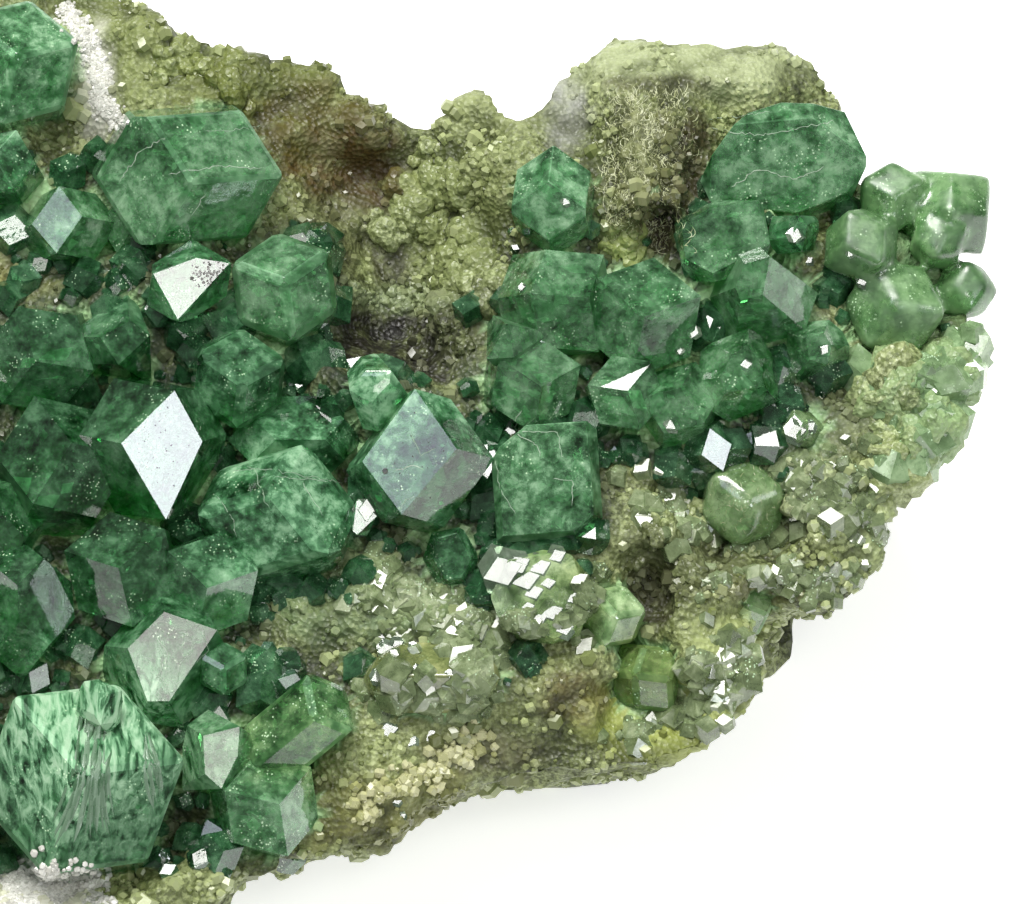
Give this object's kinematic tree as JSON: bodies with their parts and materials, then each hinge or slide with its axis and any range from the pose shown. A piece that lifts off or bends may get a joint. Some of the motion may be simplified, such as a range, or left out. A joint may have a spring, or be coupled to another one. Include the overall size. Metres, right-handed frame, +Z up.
{
  "type": "demantoid garnet specimen",
  "caption": "Mineral specimen: twelve-sided green garnet crystals standing on a slab of pale sugary garnet rock, lying on its flat broken back.",
  "frame": {"origin": "middle of the underside of the specimen's box, on the plane it lies on", "axes": "+X along the slab's longest side, to the right as seen from the front, +Y to the back, +Z up"},
  "size_m": [0.0802, 0.0594, 0.028],
  "materials": {
    "garnet_rock": "rough, sugary broken rock with brown stains",
    "demantoid": "bright, see-through dark green crystal faces",
    "pale_garnet": "bright, cloudy yellow-green crystal faces"
  },
  "bodies": {
    "root": {"slab": "garnet_rock", "corner_crystal": "demantoid", "large_top_crystal": "demantoid", "left_upper_crystal": "demantoid", "warm_mirror_crystal": "demantoid", "pocket_side_crystal": "demantoid", "large_cluster": "demantoid", "violet_face_crystals": "demantoid", "slate_crystal": "demantoid", "block_crystal": "demantoid", "stepped_mirror_crystal": "pale_garnet", "hollow_side_crystal": "pale_garnet", "tall_crystal": "demantoid", "middle_druse": "demantoid", "right_druse": "demantoid", "white_glint_crystal": "demantoid", "right_edge_druse": "demantoid", "large_right_crystal": "demantoid", "white_face_crystals": "demantoid", "rounded_crystal": "pale_garnet", "pale_block": "pale_garnet", "pale_block_right": "pale_garnet", "pale_lump": "pale_garnet", "white_shard": "pale_garnet", "left_cluster": "demantoid", "outer_left_crystal": "demantoid", "left_middle_crystal": "demantoid", "lower_left_cluster": "demantoid", "left_tip_crystal": "demantoid", "lower_left_crystal": "demantoid", "lowest_left_crystal": "demantoid"}
  },
  "joints": []
}
